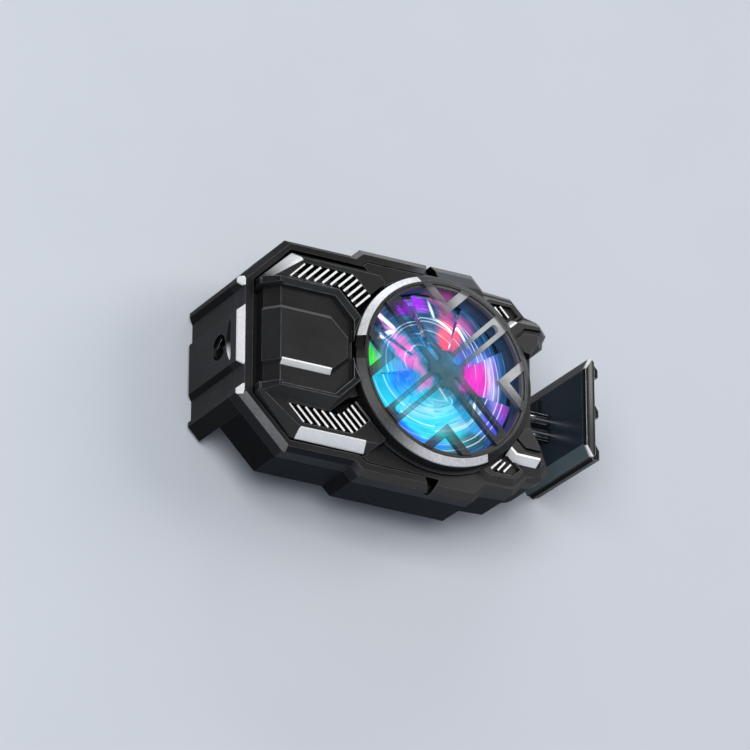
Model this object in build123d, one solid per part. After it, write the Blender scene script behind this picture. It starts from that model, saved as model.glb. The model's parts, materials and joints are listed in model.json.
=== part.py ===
from build123d import *
import math
import os

# Clamp-on phone cooling fan. Millimetres.
# Frame: origin on the fan axis, in the plane of the face that rests on the phone's back.
# +Z out of the fan, +X towards the sliding jaw, +Y across the clamp.

os.makedirs("parts", exist_ok=True)

# ---------------------------------------------------------------- driving dimensions
# body heights
Z_PHONE = 0.0            # contact plane on the phone's back
Z_FLOOR = 0.8            # underside of the floor slab
Z_FLOOR_TOP = 2.0        # top of the floor slab
Z_WALL = 1.7             # lower edge of the outer walls
Z_SEAM = 10.2            # split between rear housing and front cover
Z_SHOULDER = 13.3        # lower edge of the perimeter bevel
Z_FACE = 14.35           # front face of the frame
Z_PIT = 12.3             # floor that the left panel stands on
WALL = 1.5               # moulded wall thickness
# fan and bezel
R_BEZEL = 19.7           # bezel outer radius
R_BEZEL_TOP = 18.36      # inner edge of the bezel's conical face
R_OPEN = 17.85           # clear opening of the bezel
Z_BEZEL_LOW = 17.8       # cone's outer edge
Z_BEZEL_TOP = 18.8       # cone's inner edge
R_PLINTH = 20.4          # low round step the bezel stands in
Z_PLINTH = 15.0
Z_GUARD = 19.0           # top of the guard
R_BLADE = 16.9           # blade tip radius
R_HUB = 6.2              # rotor hub
BLADES = 9
SHAFT_R = 0.75
BEARING_GAP = 0.05       # radial running clearance of the shaft
# clamp
X_FIXED = -39.95         # inner wall of the fixed jaw, behind its pad
X_FIXED_OUT = -43.3      # raised bands on the fixed jaw
X_FIXED_REC = -42.2      # recessed bands between them
PAD = 0.6                # rubber pad thickness
Z_JAW_REAR = -7.5        # jaws reach this far round the phone's edge
X_JAW = 32.85            # moving jaw's inner face as photographed
X_JAW_OUT = 36.5         # moving jaw's raised outer ribs
Z_JAW_FRONT = 16.6       # moving jaw's front rim
ARM_HALF = 2.85          # half width of the slide arm
ROD_R = 0.72             # polished guide rods let into the arm
ROD_Y = 1.45
ROD_Z = 3.1
# cooling stack
PAD_SIDE = 28.0
COLD_SIDE = 30.0
TEC_SIDE = 13.5
SINK_SIDE = 30.0
# power inlet
Z_INLET = 5.85
R_INLET = 2.55


# ---------------------------------------------------------------- helpers
def wire(pts):
    return Wire.make_polygon([Vector(*p) for p in pts], close=True)


def prism(pts, z0, z1):
    return Solid.extrude(Face(wire([(x, y, z0) for x, y in pts])), Vector(0, 0, z1 - z0))


def prism_y(pts, y0, y1):
    # pts are (x, z)
    return Solid.extrude(Face(wire([(x, y0, z) for x, z in pts])), Vector(0, y1 - y0, 0))


def prism_x(pts, x0, x1):
    # pts are (y, z)
    return Solid.extrude(Face(wire([(x0, y, z) for y, z in pts])), Vector(x1 - x0, 0, 0))


def loft3(a, b):
    return Solid.make_loft([wire(a), wire(b)], True)


def frustum(p0, z0, p1, z1):
    return loft3([(x, y, z0) for x, y in p0], [(x, y, z1) for x, y in p1])


def full(half):
    # half outline with Y >= 0, listed left to right, closed by its mirror image
    return half + [(x, -y) for x, y in reversed(half) if abs(y) > 1e-9]


def flip(shape):
    return shape.mirror(Plane.XZ)


def cyl(r, z0, z1, x=0.0, y=0.0):
    return Solid.make_cylinder(r, z1 - z0, Plane((x, y, z0)))


def tube(r_out, r_in, z0, z1, x=0.0, y=0.0):
    return cyl(r_out, z0, z1, x, y) - cyl(r_in, z0 - 1, z1 + 1, x, y)


def box(x0, x1, y0, y1, z0, z1):
    return prism([(x0, y0), (x1, y0), (x1, y1), (x0, y1)], z0, z1)


def ring_profile(pts):
    # pts are (r, z), turned about Z
    return Solid.revolve(Face(wire([(r, 0, z) for r, z in pts])), 360, Axis.Z)


def half_space(p, n, size=200.0):
    # everything on the side that n points to
    return Plane(origin=p, z_dir=n) * Box(
        size, size, size, align=(Align.CENTER, Align.CENTER, Align.MIN)
    )


def slab(p, n, depth, size=200.0):
    # a layer of the given depth just below the plane
    n = Vector(*n).normalized()
    o = Vector(*p) - n * depth
    return Plane(origin=o, z_dir=n) * Box(
        size, size, depth + 2.0, align=(Align.CENTER, Align.CENTER, Align.MIN)
    )


def normal(p1, p2, p3, toward):
    n = (Vector(*p2) - Vector(*p1)).cross(Vector(*p3) - Vector(*p1)).normalized()
    return n if n.dot(Vector(*toward)) > 0 else n * -1.0


def solids_of(shape):
    return [s for s in shape.solids() if s.volume > 0.02]


def one(shape):
    s = solids_of(shape)
    s.sort(key=lambda k: -k.volume)
    return s[0]


def group(shapes):
    flat = []
    for s in shapes:
        flat += solids_of(s)
    return Compound(children=flat) if len(flat) > 1 else flat[0]


def save(name, shape):
    export_step(shape, "parts/" + name + ".step")
    print(name, len(shape.solids()), round(sum(s.volume for s in shape.solids()), 1))


# ---------------------------------------------------------------- outlines (half, Y >= 0)
OUT = [
    (-43.3, 12.0), (-33.2, 22.1), (-18.2, 22.2), (-16.5, 23.9), (8.9, 24.1), (11.6, 21.3),
    (17.9, 21.0), (21.1, 17.8), (23.6, 17.3), (24.7, 16.7), (26.1, 14.7), (25.3, 13.0),
    (25.2, 11.7), (22.3, 9.1),
]
INN = [
    (-42.1, 11.6), (-32.4, 21.25), (-17.8, 21.25), (-16.1, 22.7), (8.5, 22.8), (11.0, 20.3),
    (17.5, 20.1), (20.6, 17.1), (22.9, 16.6), (23.9, 16.1), (25.3, 14.2), (24.5, 12.6),
    (24.4, 11.3), (21.6, 8.7),
]
# inside of the shells
CAV = [
    (-38.4, 13.6), (-32.5, 20.6), (-17.6, 20.7), (-15.9, 22.4), (8.3, 22.5), (11.0, 19.8),
    (17.3, 19.5), (19.6, 16.2), (21.2, 14.9), (21.2, 9.0),
]
# recessed bands of the fixed jaw wall, between the middle band and each lip
BAND = [(-42.2, 6.15), (-43.4, 5.17), (-44.6, 5.17), (-44.6, 11.2), (-43.4, 11.2), (-42.2, 10.1)]

# a lens-shaped thumb notch beside the power inlet
LENS_R = 7.05
LENS_Z = 10.62
LENS_HALF = 4.76
lens_c = LENS_Z + math.sqrt(LENS_R ** 2 - LENS_HALF ** 2)
LENS_H = 8.0
lens = Solid.make_sphere(math.hypot(LENS_R, LENS_H), Plane((X_FIXED_OUT - LENS_H, 0, lens_c)))
lens = one(lens & box(-46, -41, -6, 6, 5, LENS_Z))


def inlet(r, x0, x1):
    return Plane(origin=(x0, 0, Z_INLET), z_dir=(1, 0, 0)) * Cylinder(
        r, x1 - x0, align=(Align.CENTER, Align.CENTER, Align.MIN)
    )


# ---------------------------------------------------------------- fixed jaw
jaw_poly = [(X_FIXED_OUT, 12.0), (-40.75, 14.55), (X_FIXED, 13.75)]
fixed_jaw = prism(full(jaw_poly), Z_JAW_REAR, Z_SEAM)
band_cut = prism(BAND, Z_JAW_REAR - 1, Z_FACE + 5)
fixed_jaw = fixed_jaw - band_cut - flip(band_cut)
# bevel along the rear edge
fixed_jaw -= half_space((-43.3, 0, -6.5), (-1, 0, -1))
s2 = math.sqrt(0.5)
for sy in (1, -1):
    fixed_jaw -= half_space((-43.3, 12.0 * sy, -6.5), (-s2, s2 * sy, -1.0))
fixed_jaw = fixed_jaw - lens - inlet(2.6, -46, -38) - inlet(3.3, -42.6, -38)
fixed_jaw = one(fixed_jaw)
save("fixed_jaw", fixed_jaw)
save("fixed_jaw_pad", box(X_FIXED, X_FIXED + PAD, -11.4, 11.4, -6.9, -0.3))

# ---------------------------------------------------------------- rear housing
REAR = [
    (X_FIXED, 13.75), (-40.75, 14.55), (-33.2, 22.1), (-18.2, 22.2), (-16.5, 23.9), (8.9, 24.1),
    (11.6, 21.3), (17.9, 21.0), (21.1, 17.8), (23.6, 17.3), (24.7, 16.7), (26.1, 14.7),
    (25.3, 13.0), (25.2, 11.7), (22.3, 9.1),
]
FLOOR = [
    (-38.2, 12.6), (-32.0, 20.0), (-17.2, 20.2), (-15.5, 21.9), (8.0, 22.0), (10.7, 19.3),
    (17.0, 19.0), (20.4, 15.7), (22.4, 15.0), (23.8, 13.4), (20.8, 8.4),
]
rear = prism(full(REAR), Z_WALL, Z_SEAM) - prism(full(CAV), Z_FLOOR_TOP, Z_SEAM + 1)
rear = rear + prism(full(FLOOR), Z_FLOOR, Z_WALL)
# floor window for the cold plate
rear -= box(-COLD_SIDE / 2 - 0.15, COLD_SIDE / 2 + 0.15, -COLD_SIDE / 2 - 0.15, COLD_SIDE / 2 + 0.15, 0, Z_FLOOR_TOP + 0.5)
# guide collar of the slide arm
rear += box(21.0, 26.4, -4.6, 4.6, 1.0, 5.2)
rear -= box(20.0, 28.0, -ARM_HALF - 0.3, ARM_HALF + 0.3, 2.0, 4.2)
# exhaust slots through the end wall, on both sides of the slide arm
for y in (2.0, 4.2, 6.4):
    slot = box(20.5, 24.0, y, y + 1.3, 6.4, 9.2)
    rear = rear - slot - flip(slot)
# screw bosses and their holes
SCREWS = [(-34.2, 13.2), (-34.2, -13.2), (16.2, 17.2), (16.2, -17.2)]
for x, y in SCREWS:
    rear += cyl(1.9, Z_FLOOR_TOP - 0.6, Z_SEAM, x, y)
for x, y in SCREWS:
    rear = rear - cyl(0.8, 0.0, Z_SEAM + 1, x, y) - cyl(1.6, 0.0, 1.6, x, y)
# spring anchor posts
for y in (9.8, -9.8):
    rear += cyl(0.7, Z_FLOOR_TOP - 0.5, 4.9, -16.0, y)
rear -= inlet(3.35, -42, -34)
rear = one(rear)
save("rear_housing", rear)

# ---------------------------------------------------------------- front cover
cover = prism(full(OUT), Z_SEAM, Z_SHOULDER)
cover += frustum(full(OUT), Z_SHOULDER, full(INN), Z_FACE)
# raised right shoulders that carry the small grilles
SH0 = [(9.4, 18.2), (11.2, 20.15), (17.4, 19.95), (20.4, 17.0), (16.2, 13.3)]
SH1 = [(10.0, 17.9), (11.6, 18.75), (16.95, 18.55), (19.0, 16.6), (15.9, 13.6)]
sh = frustum(SH0, Z_FACE - 0.4, SH1, 15.8)
cover = cover + sh + flip(sh)
# round plinth round the bezel
cover += cyl(R_PLINTH, Z_FACE - 1.0, Z_PLINTH)
# hollow underside
cover -= prism(full(CAV), Z_SEAM - 1, 11.0)
cav_hi = [(-15.0, 19.0), (-14.0, 21.4), (8.0, 21.4), (10.6, 18.8), (16.8, 18.5), (19.2, 15.8), (21.0, 14.6), (21.0, 8.8)]
cover -= prism(full(cav_hi), Z_SEAM - 1, 12.8)
# seat of the bezel, straight through
cover -= cyl(R_BEZEL + 0.02, Z_SEAM - 1, 20)
# pit for the left panel
PIT = [(-40.45, 11.9), (-32.3, 20.0), (-15.95, 20.0), (-11.65, 16.0)]
cover -= prism(full(PIT), Z_PIT, 20)
# recessed bands carry on up the left wall
cover = cover - band_cut - flip(band_cut)
cover -= lens
# seats of the small grilles on the shoulders
RG = [(11.35, 17.2), (12.0, 17.95), (16.6, 18.0), (18.35, 16.35), (17.55, 15.7), (15.35, 13.75)]
rg = prism(RG, 14.9, 17.0)
cover = cover - rg - flip(rg)
# V notches in the middle of the long bevels
vn = prism([(-2.5, 21.4), (0.8, 21.5), (-0.7, 24.6), (-1.1, 24.6)], 11.4, 16.0)
cover = cover - vn - flip(vn)
# fine groove between frame and middle body
for sy in (1, -1):
    path = [(-16.9, 20.0), (-15.4, 21.25), (-2.4, 21.45), (-2.4, 21.2), (-15.25, 21.0), (-16.7, 19.8)]
    cover -= prism([(x, y * sy) for x, y in path], Z_FACE - 0.35, 16)
# screw pilot holes
for x, y in SCREWS:
    cover -= cyl(0.78, Z_SEAM - 1, 12.0, x, y)

# bright facets on the left edge, cut out of the bevel so that they lie flush
FACET_N = normal((-43.3, 0, Z_SHOULDER), (-42.1, 0, Z_FACE), (-42.1, 5, Z_FACE), (-1, 0, 1))
facet = slab((-43.3, 0, Z_SHOULDER), FACET_N, 0.4)
edge_trims = []
mid = cover & facet & box(-44, -42.12, -6.2, 6.2, 12.9, 15)
edge_trims.append(one(mid))
for sy in (1, -1):
    a = box(-44, -42.12, 10.3, 12.3, 12.9, 15)
    a = a if sy > 0 else flip(a)
    edge_trims.append(one(cover & facet & a))
for t in edge_trims:
    cover -= t
# grey facet along the lower-left slope
SL_N = normal((-43.3, -12.0, Z_SHOULDER), (-33.2, -22.1, Z_SHOULDER), (-32.4, -21.25, Z_FACE), (-1, -1, 1))
slope = one(cover & slab((-43.3, -12.0, Z_SHOULDER), SL_N, 0.4) & prism([(-46, -11.9), (-41.9, -11.75), (-32.6, -21.0), (-32.5, -24.5), (-46, -24.5)], 13.2, 15) & box(-43.2, -32.6, -23, -11.95, 13.2, 15))
cover -= slope
cover = one(cover)
save("front_cover", cover)
save("edge_trims", group(edge_trims))
save("slope_trim", slope)

# ---------------------------------------------------------------- left panel
PANEL = [(-40.0, 11.7), (-32.0, 19.4), (-15.4, 19.5), (-11.8, 16.0)]
panel = prism(full(PANEL), Z_PIT, 16.4)
# long bevels
n_long = (0, 0.812, 0.583)
for sy in (1, -1):
    panel -= half_space((0, 19.2 * sy, 14.45), (0, 0.812 * sy, 0.583))
    q1, q2, q3 = (-40.2, 11.7 * sy, 15.7), (-31.9, 19.12 * sy, 14.45), (-31.0, 17.8 * sy, 16.4)
    panel -= half_space(q1, normal(q1, q2, q3, (-1, sy, 1)))
# raised boss
B0 = [(-39.6, 11.95), (-25.0, 13.2), (-20.1, 8.3)]
B1 = [(-37.2, 11.34), (-24.2, 11.34), (-19.5, 6.7)]
boss = frustum(full(B0), 16.4, full(B1), 19.3)
boss += frustum(full([(-39.95, 11.6), (-25.0, 11.6), (-20.0, 8.0)]), 14.0, full([(-39.6, 11.95), (-25.0, 13.2), (-20.1, 8.3)]), 16.4)
panel += boss
# pocket with a sloping rim
P0 = [(-44.0, 10.35), (-24.55, 10.35), (-20.35, 6.15)]
P1 = [(-44.0, 11.2), (-24.25, 11.2), (-19.65, 6.6)]
panel -= prism(full([(-36.1, 10.25), (-24.6, 10.25), (-20.45, 6.1)]), 17.4, 21)
panel -= frustum(full([(-36.6, 10.35), (-24.55, 10.35), (-20.35, 6.15)]), 18.35, full([(-36.6, 11.25), (-24.25, 11.25), (-19.6, 6.65)]), 19.35)
# pocket carries on down the left bevel
panel -= prism_y([(-36.1, 17.4), (-38.4, 14.7), (-38.4, 12.0), (-46, 12.0), (-46, 22), (-36.1, 22)], -10.3, 10.3)
# round end against the plinth
panel -= cyl(R_PLINTH + 0.12, 10, 25)
# grille windows
WIN = [(-33.85, 13.22), (-30.35, 16.78), (-19.45, 16.78), (-14.2, 11.6), (-17.6, 8.2), (-19.6, 9.2), (-20.6, 9.4), (-24.7, 13.22)]
win = prism(WIN, 10.0, 19.0) - frustum(full(B0), 16.35, full(B1), 19.3)
win_low = prism(WIN, Z_PIT - 4, 16.4)
panel = panel - win_low - flip(win_low)
# bright trims, flush with the panel
K1, K2, K3 = (-40.2, 11.7, 15.7), (-31.9, 19.12, 14.45), (-31.0, 17.8, 16.4)
kn = normal(K1, K2, K3, (-1, 1, 1))
K4 = (K2[0] + kn.X, K2[1] + kn.Y, K2[2] + kn.Z)
corner = one((panel & slab(K2, kn, 0.45) & half_space((-38.9, 12.9, 15.5), (1, 0.95, 0)) & half_space(K2, normal(K2, K3, K4, (-1, 0, 0)))) - boss)
strip = one(panel & slab((0, -19.2, 14.45), (0, -0.812, 0.583), 0.45) & box(-31.2, -15.5, -20, -17.6, 13.9, 17)
            & half_space((-31.1, -17.9, 16), (1, -0.55, 0)) & half_space((-16.5, -18.1, 16), (-0.926, -0.377, 0)))
panel = panel - corner - strip
panel = one(panel)
save("left_panel", panel)
save("corner_trim", corner)
save("panel_lower_trim", strip)

# the cover under the grilles is open, so the grilles breathe
for sy in (1, -1):
    w = prism([(x, y * sy) for x, y in [(-33.0, 13.6), (-30.4, 16.4), (-19.7, 16.4), (-16.6, 13.3), (-21.6, 10.4), (-25.0, 13.6)]], 9.0, Z_PIT + 0.1)
    cover -= w
cover = one(cover)
save("front_cover", cover)

# ---------------------------------------------------------------- raised hexagon plate
hx = loft3(
    [(-36.1, -6.23, 17.4), (-25.2, -6.23, 17.4), (-21.0, -2.3, 17.4), (-21.0, 2.3, 17.4), (-25.2, 6.23, 17.4), (-36.1, 6.23, 17.4)],
    [(-36.49, -5.35, 18.25), (-25.5, -5.35, 18.25), (-21.8, -2.0, 18.25), (-21.8, 2.0, 18.25), (-25.5, 5.35, 18.25), (-36.49, 5.35, 18.25)],
)
hx2 = loft3(
    [(-36.1, -6.23, 17.4), (-36.1, 6.23, 17.4), (-38.4, 6.23, 14.7), (-38.4, -6.23, 14.7)],
    [(-36.49, -5.35, 18.25), (-36.49, 5.35, 18.25), (-39.05, 5.35, 15.25), (-39.05, -5.35, 15.25)],
)
hexp = hx + hx2
hn = normal((-30, -6.23, 17.4), (-26, -6.23, 17.4), (-30, -5.35, 18.25), (0, -1, 1))
hstrip = one(hexp & slab((-30, -6.23, 17.4), hn, 0.4) & box(-36.2, -25.25, -6.6, -5.0, 17.35, 18.5))
hexp = one(hexp - hstrip)
save("hexagon_plate", hexp)
save("hexagon_trim", hstrip)


# ---------------------------------------------------------------- bright slats
def slat(cx, cy, length, width, ang, z0, z1):
    b = Box(length, width, z1 - z0, align=(Align.CENTER, Align.CENTER, Align.MIN))
    return Pos(cx, cy, z0) * Rot(0, 0, ang) * b


window_clip = prism(WIN, 12.0, 16.4)
slats = []
for i in range(11):
    if i < 7:
        cx, cy = -31.91 + 1.78 * i, 15.0
    else:
        cx, cy = -20.08 + 0.90 * (i - 7), 14.37 - 0.91 * (i - 7)
    slats.append(slat(cx, cy, 4.6, 0.5, 45, 14.0, 16.35))
RAIL = [(-32.6, 15.45), (-20.4, 15.45), (-16.9, 11.8), (-17.6, 11.15), (-20.8, 14.5), (-32.6, 14.5)]
grille = prism(RAIL, 13.3, 14.15) & window_clip
for s in slats:
    grille += s & window_clip
grille = one(grille)
save("upper_grille", grille)
save("lower_grille", flip(grille))
# short slats on the right shoulders
rs = []
rg_clip = prism(RG, 14.9, 15.75)
for cx, cy, ln, ang, sy in (
    (13.64, 16.43, 2.4, -47, 1), (15.03, 16.67, 2.9, -45, 1),
    (12.87, -16.18, 3.4, 45, -1), (14.03, -16.45, 2.7, 49, -1), (15.36, -16.6, 2.6, 48, -1),
):
    rs.append(one(slat(cx, cy, ln, 0.45, ang, 14.9, 15.75) & (rg_clip if sy > 0 else flip(rg_clip))))
save("shoulder_slats", group(rs))

# ---------------------------------------------------------------- bezel and its bright arcs
bezel = ring_profile([
    (R_OPEN, 12.9), (R_BEZEL, 12.9), (R_BEZEL, Z_BEZEL_LOW), (R_BEZEL_TOP, Z_BEZEL_TOP), (R_OPEN, Z_BEZEL_TOP),
])
arc_body = ring_profile([
    (R_BEZEL, Z_BEZEL_LOW), (R_BEZEL_TOP, Z_BEZEL_TOP), (R_BEZEL_TOP, Z_BEZEL_TOP - 0.45), (R_BEZEL, Z_BEZEL_LOW - 0.45),
])


def sector(a0, a1, r=30.0, z0=10.0, z1=25.0):
    n = max(2, int((a1 - a0) / 20))
    pts = [(0.0, 0.0)]
    for i in range(n + 1):
        a = math.radians(a0 + (a1 - a0) * i / n)
        pts.append((r * math.cos(a), r * math.sin(a)))
    return prism(pts, z0, z1)


arc_a = one(arc_body & sector(108, 170))
arc_b = one(arc_body & sector(177, 239)) + one(arc_body & sector(239, 299.6))
arc_b = one(arc_b)
notch = arc_body & sector(170, 177)
bezel = bezel - arc_a - arc_b - notch
bezel = one(bezel)
save("fan_bezel", bezel)
save("bezel_arcs", group([arc_a, arc_b]))

# ---------------------------------------------------------------- fan guard
guard = tube(R_OPEN - 0.03, 17.25, 17.3, 18.4)
arms = None
for a in (45, 135):
    bar = Rot(0, 0, a) * Box(35.2, 3.7, 1.1, align=(Align.CENTER, Align.CENTER, Align.MIN))
    bar = Pos(0, 0, Z_GUARD - 1.1) * bar
    arms = bar if arms is None else arms + bar
# concave corners round the centre
corner_r = 2.9
off = (3.7 / 2 + corner_r) * math.sqrt(2)
hub_fill = prism([(4.6, 0), (0, 4.6), (-4.6, 0), (0, -4.6)], Z_GUARD - 1.1, Z_GUARD)
for a in (0, 90, 180, 270):
    hub_fill -= cyl(corner_r, Z_GUARD - 2, Z_GUARD + 1, off * math.cos(math.radians(a)), off * math.sin(math.radians(a)))
arms = arms + hub_fill
arms = arms & cyl(R_OPEN - 0.03, 15, 25)
for a in (45, 135, 225, 315):
    s = Rot(0, 0, a) * (Pos(9.15, 0, 15) * Box(13.9 - 1.8, 1.8, 10, align=(Align.CENTER, Align.CENTER, Align.MIN)))
    arms -= s
    for r in (3.1, 15.2):
        arms -= cyl(0.9, 15, 25, r * math.cos(math.radians(a)), r * math.sin(math.radians(a)))
guard += arms
for a in (0, 90, 180, 270):
    vee = prism([(11.6, 0), (20.0, 8.4), (22.5, 8.4), (14.1, 0), (22.5, -8.4), (20.0, -8.4)], Z_GUARD - 1.1, Z_GUARD)
    vee = Rot(0, 0, a) * vee
    guard += vee & cyl(R_OPEN - 0.03, 15, 25)
guard = one(guard)
save("fan_guard", guard)

# ---------------------------------------------------------------- ears beside the fan
E_B = [(15.75, 13.75), (17.4, 16.6), (23.2, 16.7), (23.9, 16.1), (25.3, 14.2), (24.5, 12.6), (24.4, 11.3), (21.6, 8.7), (19.4, 8.4)]
E_M = [(15.0, 13.9), (16.55, 15.3), (22.0, 15.35), (23.0, 15.1), (24.2, 13.5), (23.5, 11.9), (23.3, 10.5), (20.8, 7.9), (18.9, 7.95)]
E_T = [(15.1, 13.0), (16.4, 14.2), (21.2, 14.25), (22.1, 14.2), (22.25, 13.4), (21.75, 12.2), (21.6, 11.0), (19.8, 7.95), (18.5, 8.2)]
ear = frustum(E_B, Z_FACE, E_M, 15.5) + frustum(E_M, 15.5, E_T, 17.5)
ear -= prism([(16.3, 10.95), (18.62, 13.3), (23.5, 13.65), (23.5, 12.3), (18.8, 12.2), (16.85, 10.6)], 16.75, 19)
ear -= cyl(R_BEZEL + 0.05, 10, 20)
ear -= cyl(R_PLINTH + 0.05, 10, Z_PLINTH + 0.02)
# the shoulder block and the ear meet along the shoulder's outline
ear -= frustum(SH0, Z_FACE - 0.4, SH1, 15.8)
ear = one(ear)
# outer bevel and end bevel are bright on both ears' outer side
cap_n = normal((15.1, 13.0, 17.5), (16.4, 14.2, 17.5), (15.0, 13.9, 15.5), (-1, 1, 0.5))
cap = one(ear & slab((15.75, 13.6, 17.5), cap_n, 0.45) & half_space((15.9, 13.9, 15.6), (-0.2, 0.2, 1)) & box(12.5, 16.9, 11, 17, 15.55, 18))
side_n = normal((16.4, 14.2, 17.5), (21.2, 14.25, 17.5), (16.55, 15.3, 15.5), (0, 1, 1))
side = one(ear & slab((16.4, 14.2, 17.5), side_n, 0.4) & box(16.4, 21.9, 13, 17, 15.6, 18))
ear_low = flip(ear)
cap_low = flip(cap)
side_low = flip(side)
ear_up = one(ear - cap)
ear_low = one(ear_low - cap_low - side_low)
save("upper_ear", ear_up)
save("lower_ear", ear_low)
save("ear_trims", group([cap, cap_low, one(side_low - cap_low)]))

# ---------------------------------------------------------------- fan frame, motor, lights
frame = tube(19.2, 17.4, 9.7, 12.85)
frame += cyl(9.8, 9.9, 10.7)
for a in (20, 110, 200, 290):
    frame += Rot(0, 0, a) * (Pos(13.6, 0, 9.9) * Box(9.6, 2.0, 0.8, align=(Align.CENTER, Align.CENTER, Align.MIN)))
frame += tube(2.08, 1.6, 10.6, 13.7)
save("fan_frame", one(frame))
save("bearing_sleeve", one(tube(1.6, SHAFT_R + BEARING_GAP, 10.75, 13.7)))
stator = tube(3.0, 2.1, 11.3, 13.5)
for k in range(6):
    a = 60 * k
    stator += Rot(0, 0, a) * (Pos(3.4, 0, 11.5) * Box(1.4, 1.3, 1.8, align=(Align.CENTER, Align.CENTER, Align.MIN)))
stator = stator & cyl(4.4, 10, 15)
stator += tube(4.4, 3.9, 11.7, 13.1) - sum([Rot(0, 0, 30 + 60 * k) * (Pos(4.1, 0, 10) * Box(1.4, 0.7, 6, align=(Align.CENTER, Align.CENTER, Align.MIN))) for k in range(1, 6)], Rot(0, 0, 30) * (Pos(4.1, 0, 10) * Box(1.4, 0.7, 6, align=(Align.CENTER, Align.CENTER, Align.MIN))))
save("motor_stator", one(stator))
coils = []
for k in range(6):
    a = 60 * k
    c = Box(0.65, 2.0, 2.6, align=(Align.CENTER, Align.CENTER, Align.CENTER)) - Box(2, 1.34, 1.84)
    coils.append(Rot(0, 0, a) * (Pos(3.42, 0, 12.4) * c))
save("motor_coils", group(coils))
board = tube(9.5, 2.15, 10.7, 11.1)
save("led_board", one(board))
leds = []
for k in range(8):
    leds.append(Rot(0, 0, 22.5 + 45 * k) * (Pos(8.3, 0, 11.1) * Box(1.5, 1.5, 0.55, align=(Align.CENTER, Align.CENTER, Align.MIN))))
save("led_chips", group(leds))
save("light_guide_ring", one(tube(17.36, 16.2, 10.7, 11.45)))

# ---------------------------------------------------------------- rotor
hub = cyl(R_HUB, 11.45, 15.3) - cyl(5.4, 11.0, 14.5)
hub = hub + cyl(1.5, 14.0, 14.6)
hub = one(hub)
hub = hub.chamfer(0.6, None, [e for e in hub.edges() if e.geom_type == GeomType.CIRCLE and abs(e.center().Z - 15.3) < 0.01 and e.radius > 5])
rotor = hub
shell_ring = tube(R_BLADE, R_HUB - 0.3, 12.05, 15.0)
blade = loft3(
    [(5.6, -2.3, 12.15), (5.6, 2.3, 14.3), (5.6, 2.3, 14.95), (5.6, -2.3, 12.8)],
    [(17.6, -3.2, 12.1), (17.6, 10.2, 14.35), (17.6, 10.2, 14.95), (17.6, -3.2, 12.7)],
)
blade = one(blade & shell_ring)
for k in range(BLADES):
    rotor += Rot(0, 0, 360.0 / BLADES * k) * blade
rotor -= cyl(SHAFT_R, 10, 14.55)
save("fan_rotor", one(rotor))
save("rotor_shaft", cyl(SHAFT_R, 11.0, 14.55))
save("rotor_magnet", one(tube(5.4, 4.75, 11.6, 14.3)))

# ---------------------------------------------------------------- cooling stack
def plate(side, z0, z1, r=1.0):
    b = Pos(0, 0, z0) * Box(side, side, z1 - z0, align=(Align.CENTER, Align.CENTER, Align.MIN))
    return fillet(b.edges().filter_by(Axis.Z), r)


save("thermal_pad", plate(PAD_SIDE, 0.0, 0.5, 2.0))
save("cold_plate", plate(COLD_SIDE, 0.5, 1.9, 1.5))
save("cooling_element", plate(TEC_SIDE, 1.9, 5.0, 0.3))
gasket = plate(TEC_SIDE + 1.1, 1.95, 4.9, 0.4) - plate(TEC_SIDE + 0.05, 1.0, 6.0, 0.3)
save("element_gasket", one(gasket))
sink = Pos(0, 0, 5.0) * Box(SINK_SIDE, SINK_SIDE, 1.2, align=(Align.CENTER, Align.CENTER, Align.MIN))
for i in range(12):
    x = -SINK_SIDE / 2 + 0.5 + i * (SINK_SIDE - 1.0) / 11
    sink += box(x - 0.4, x + 0.4, -SINK_SIDE / 2, SINK_SIDE / 2, 6.1, 9.6)
save("heatsink", one(sink))

# ---------------------------------------------------------------- electronics and power inlet
pcb = box(-35.3, -20.4, -10.2, 10.2, 8.95, 9.85)
save("control_board", pcb)
parts_on_board = [box(-27.5, -24.3, -1.8, 1.8, 8.0, 8.95), box(-33.0, -31.2, 4.2, 6.6, 7.9, 8.95), box(-24.0, -22.4, -7.6, -5.4, 8.1, 8.95), box(-31.0, -29.0, -6.8, -4.6, 7.7, 8.95)]
save("board_components", group(parts_on_board))
socket = inlet(3.28, -42.6, -35.6) - inlet(R_INLET, -44, -36.6)
save("power_inlet", one(socket))
leaf = (inlet(R_INLET - 0.02, -42.35, -37.0) - inlet(R_INLET - 0.3, -43, -36)) & box(-43, -36, 0.7, 2.3, 2.0, 5.4)
save("inlet_contacts", group([one(inlet(0.65, -40.4, -36.6)), one(leaf)]))

# ---------------------------------------------------------------- screws
screws = []
for x, y in SCREWS:
    s = cyl(1.45, 0.85, 1.6, x, y) + cyl(0.74, 1.5, 11.6, x, y)
    s -= Pos(x, y, 0.6) * Box(2.0, 0.4, 0.8)
    s -= Pos(x, y, 0.6) * Box(0.4, 2.0, 0.8)
    screws.append(one(s))
save("housing_screws", group(screws))

# ---------------------------------------------------------------- sliding jaw
jaw = prism(full([(X_JAW, 7.9), (34.05, 10.45), (34.8, 10.45), (35.3, 9.9)]), Z_JAW_REAR, Z_JAW_FRONT)
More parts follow.
